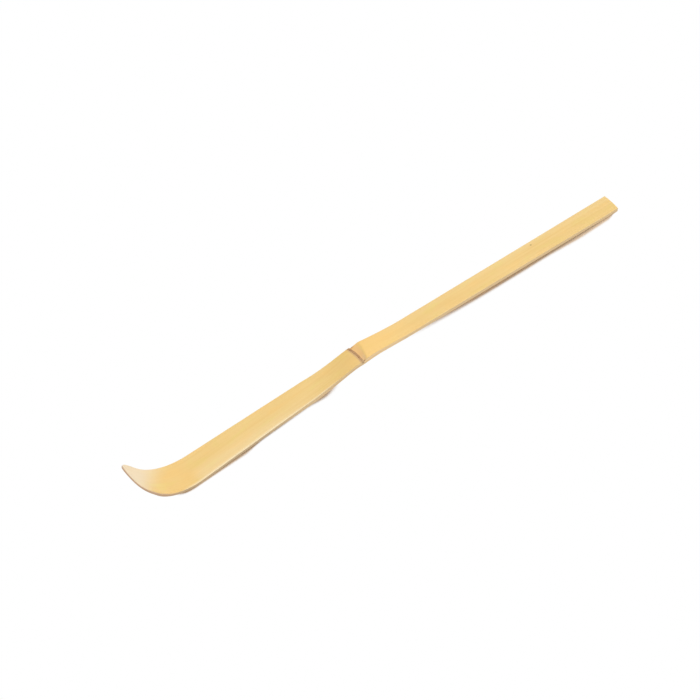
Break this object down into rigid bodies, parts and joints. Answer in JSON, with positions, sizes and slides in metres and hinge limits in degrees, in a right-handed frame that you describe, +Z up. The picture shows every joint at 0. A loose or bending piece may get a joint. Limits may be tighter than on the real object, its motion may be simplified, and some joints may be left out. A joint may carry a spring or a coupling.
{
  "type": "tea scoop",
  "caption": "Slender bamboo tea scoop with a straight handle, an arched node and a bent, rounded scoop for lifting powdered tea.",
  "frame": {"origin": "on the table it lies on, below the middle of its length and width", "axes": "+X along the strip towards the butt of the handle, +Y across the strip, +Z up; the scoop's tip is at -X"},
  "size_m": [0.1792, 0.0114, 0.017],
  "materials": {
    "bamboo_skin": "satin",
    "bamboo_wood": "matte",
    "scar_fibre": "matte"
  },
  "bodies": {
    "root": {"handle_wood": "bamboo_wood", "handle_skin": "bamboo_skin", "node_wood": "bamboo_wood", "node_septum": "scar_fibre", "stem_ring": "bamboo_skin", "sheath_scar": "scar_fibre", "scoop_wood": "bamboo_wood", "scoop_skin": "bamboo_skin"}
  },
  "joints": []
}
